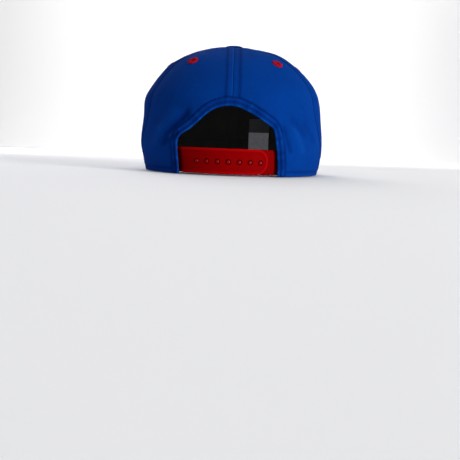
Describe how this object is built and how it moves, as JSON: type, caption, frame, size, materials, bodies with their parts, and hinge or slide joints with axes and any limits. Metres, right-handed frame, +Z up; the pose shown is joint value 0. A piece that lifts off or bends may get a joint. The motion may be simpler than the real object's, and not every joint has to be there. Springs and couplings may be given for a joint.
{
  "type": "racing cap",
  "caption": "Structured cotton cap with a flat peak, sewn eyelets, a covered button, an open arch at the back and a fastened plastic snap strap",
  "frame": {"origin": "middle of the bounding box at its bottom, where the cap stands", "axes": "+Z up, +Y out of the back arch and its strap, -Y along the peak, +X towards the wearer's left"},
  "size_m": [0.1806, 0.2646, 0.1175],
  "materials": {
    "blue_twill": "matt twill",
    "red_plastic": "satin",
    "red_thread": "matt thread",
    "black_cloth": "matt",
    "grey_label": "satin weave"
  },
  "bodies": {
    "root": {"panel_back_left": "blue_twill", "panel_back_right": "blue_twill", "panel_side_left": "blue_twill", "panel_side_right": "blue_twill", "panel_front_left": "blue_twill", "panel_front_right": "blue_twill", "top_button": "blue_twill", "arch_binding": "blue_twill", "peak": "blue_twill", "eyelet_back_left": "red_thread", "eyelet_back_right": "red_thread", "eyelet_side_left": "red_thread", "eyelet_side_right": "red_thread", "eyelet_front_left": "red_thread", "eyelet_front_right": "red_thread", "snap_strap": "red_plastic", "stud_strap": "red_plastic", "front_lining": "black_cloth", "sweatband": "black_cloth", "inner_label": "grey_label"}
  },
  "joints": []
}
